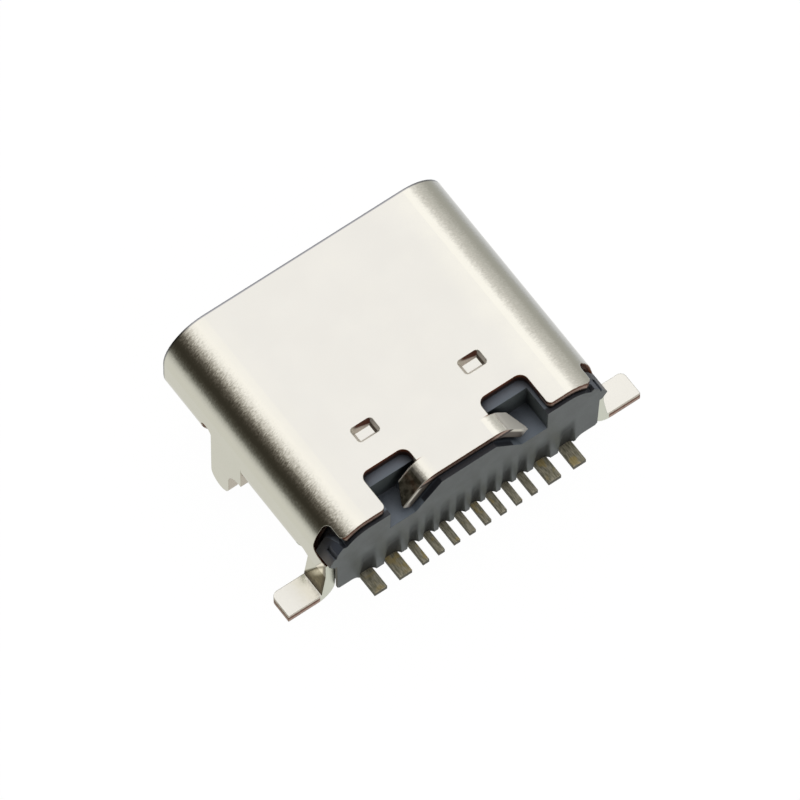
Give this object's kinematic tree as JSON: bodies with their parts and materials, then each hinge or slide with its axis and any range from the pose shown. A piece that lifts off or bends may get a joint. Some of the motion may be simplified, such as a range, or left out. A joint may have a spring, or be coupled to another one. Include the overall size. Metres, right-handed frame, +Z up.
{
  "type": "usb-c socket",
  "caption": "Board-mounted usb-c socket: stamped steel shell with through-hole legs and soldered wings, moulded insulator with tongue, ground plate, collars and bent contacts.",
  "frame": {"origin": "on the board plane, at the middle of the shell's width and length", "axes": "-Y out of the mouth, +Y towards the solder tails, +Z up from the board, +X across the shell; seen from above with the mouth away from the viewer, +X is on the left"},
  "size_m": [0.0114, 0.008, 0.0042],
  "materials": {
    "shell": "nickel plated, satin with softly mottled rolled corners",
    "insulator": "matte, glass-filled resin",
    "middle_plate": "plain",
    "collars": "plain",
    "contacts": "plated copper alloy, gold on the tongue, tin on the tails"
  },
  "bodies": {
    "root": {"shell": "shell", "insulator": "insulator", "middle_plate": "middle_plate", "upper_collar": "collars", "lower_collar": "collars", "contact_a1": "contacts", "contact_a4": "contacts", "contact_a5": "contacts", "contact_a6": "contacts", "contact_a7": "contacts", "contact_a8": "contacts", "contact_a9": "contacts", "contact_a12": "contacts", "contact_b12": "contacts", "contact_b9": "contacts", "contact_b8": "contacts", "contact_b7": "contacts", "contact_b6": "contacts", "contact_b5": "contacts", "contact_b4": "contacts", "contact_b1": "contacts"}
  },
  "joints": []
}
